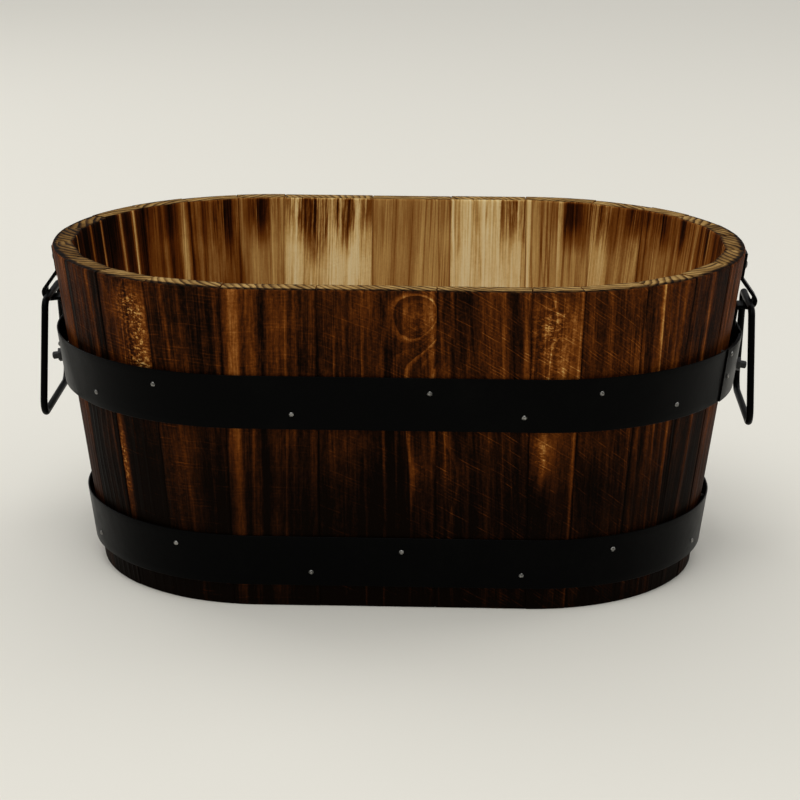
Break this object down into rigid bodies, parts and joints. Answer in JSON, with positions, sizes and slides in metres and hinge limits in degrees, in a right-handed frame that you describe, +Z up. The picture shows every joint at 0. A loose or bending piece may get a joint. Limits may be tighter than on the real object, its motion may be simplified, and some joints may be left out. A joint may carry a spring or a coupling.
{
  "type": "oval barrel planter",
  "caption": "Oval coopered wooden planter with tapered burnt-fir staves, two nailed black steel hoops, a boarded base with drain holes and a drop handle at each end.",
  "frame": {"origin": "on the floor under the middle of the tub, at the foot of the staves", "axes": "+Z up, +X along the tub's length towards its right-hand handle, -Y towards the front"},
  "size_m": [0.4678, 0.2794, 0.213],
  "materials": {
    "burnt_fir": "torch-burnt and brushed softwood, dull, with an orange and dark brown grain",
    "base_fir": "sawn softwood, dull",
    "black_steel": "thin black paint on steel strip and rod, satin",
    "nail_steel": "bare steel nail heads, slightly dulled",
    "dark_fastener": "dark zinc-coated steel"
  },
  "bodies": {
    "tub": {"stave_01": "burnt_fir", "stave_02": "burnt_fir", "stave_03": "burnt_fir", "stave_04": "burnt_fir", "stave_05": "burnt_fir", "stave_06": "burnt_fir", "stave_07": "burnt_fir", "stave_08": "burnt_fir", "stave_09": "burnt_fir", "stave_10": "burnt_fir", "stave_11": "burnt_fir", "stave_12": "burnt_fir", "stave_13": "burnt_fir", "stave_14": "burnt_fir", "stave_15": "burnt_fir", "stave_16": "burnt_fir", "stave_17": "burnt_fir", "stave_18": "burnt_fir", "stave_19": "burnt_fir", "stave_20": "burnt_fir", "stave_21": "burnt_fir", "stave_22": "burnt_fir", "stave_23": "burnt_fir", "stave_24": "burnt_fir", "stave_25": "burnt_fir", "stave_26": "burnt_fir", "stave_27": "burnt_fir", "base_board_1": "base_fir", "base_board_2": "base_fir", "base_board_3": "base_fir", "upper_hoop": "black_steel", "lower_hoop": "black_steel", "left_strap": "black_steel", "right_strap": "black_steel", "upper_hoop_nails": "nail_steel", "lower_hoop_nails": "nail_steel", "handle_bolts": "dark_fastener", "handle_washers": "dark_fastener", "handle_nuts": "dark_fastener", "strap_screws": "dark_fastener"},
    "left_handle": {"left_bail": "black_steel"},
    "right_handle": {"right_bail": "black_steel"}
  },
  "joints": [
    {"name": "left_handle_swing", "type": "hinge", "parent": "tub", "child": "left_handle", "pos_m": [-0.22821, 0, 0.17447], "axis": [0, 1, 0], "range_deg": [-10, 175]},
    {"name": "right_handle_swing", "type": "hinge", "parent": "tub", "child": "right_handle", "pos_m": [0.22821, 0, 0.17447], "axis": [0, -1, 0], "range_deg": [-10, 175]}
  ]
}
